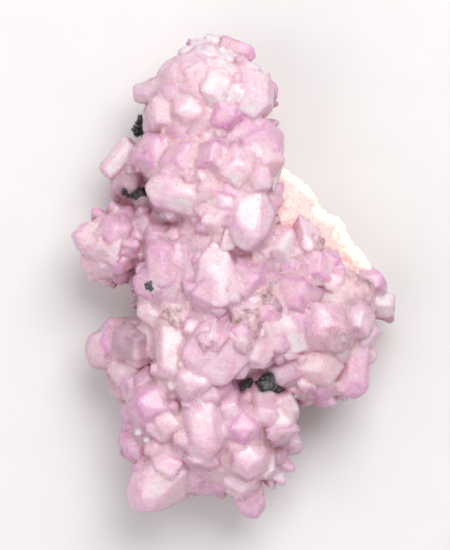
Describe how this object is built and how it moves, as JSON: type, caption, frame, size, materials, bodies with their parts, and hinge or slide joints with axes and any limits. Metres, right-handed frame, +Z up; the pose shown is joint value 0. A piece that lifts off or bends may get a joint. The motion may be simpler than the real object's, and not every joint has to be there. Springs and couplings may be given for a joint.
{
  "type": "pink calcite with arsenopyrite",
  "caption": "Mineral specimen: a tall cluster of blunt pink calcite crystals on broken massive calcite, with arsenopyrite in its hollows, lying on a flat back.",
  "frame": {"origin": "middle of the underside of the bounding box, on the flat broken back that the specimen rests on", "axes": "+Z up out of the crystal face, +Y to the specimen's top, +X to its broken right-hand edge"},
  "size_m": [0.0814, 0.1213, 0.0394],
  "materials": {
    "pink_calcite": "cloudy translucent pale pink crystal with lilac edges",
    "massive_calcite": "broken, sugary, cream to peach",
    "arsenopyrite": "dark grey, granular, with small bright facets"
  },
  "bodies": {
    "root": {"pink_calcite_crystals": "pink_calcite", "massive_calcite_matrix": "massive_calcite", "arsenopyrite_main_hollow": "arsenopyrite", "arsenopyrite_small_hollow": "arsenopyrite", "arsenopyrite_left_hollow": "arsenopyrite", "arsenopyrite_upper_notch": "arsenopyrite", "arsenopyrite_middle_grain": "arsenopyrite"}
  },
  "joints": []
}
